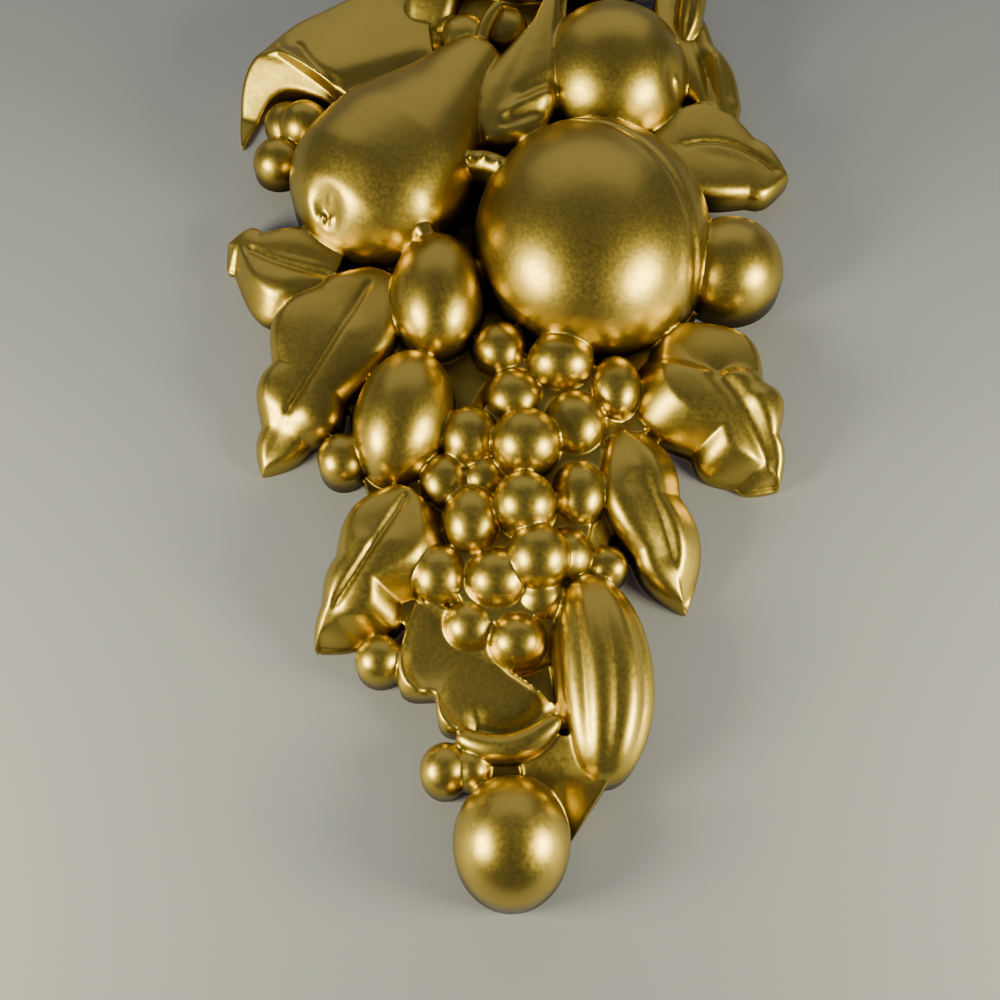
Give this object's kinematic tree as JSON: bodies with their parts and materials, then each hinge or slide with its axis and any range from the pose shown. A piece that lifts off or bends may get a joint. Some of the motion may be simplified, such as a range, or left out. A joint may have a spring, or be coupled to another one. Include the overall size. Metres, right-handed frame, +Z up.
{
  "type": "decorative wall plaque",
  "caption": "Moulded swag of fruit, grapes and vine leaves in gold paint, flat cored back with a nail slot, hung on a wall.",
  "frame": {"origin": "on the flat back of the solid hanging pad, in the plane that lies against the wall", "axes": "+Z up the wall as hung, +Y into the wall, the relief faces -Y, +X to the right seen from the front"},
  "size_m": [0.1801, 0.044, 0.359],
  "materials": {
    "plaque": "satin metallic gold paint on moulded plastic"
  },
  "bodies": {
    "root": {"plaque": "plaque"}
  },
  "joints": []
}
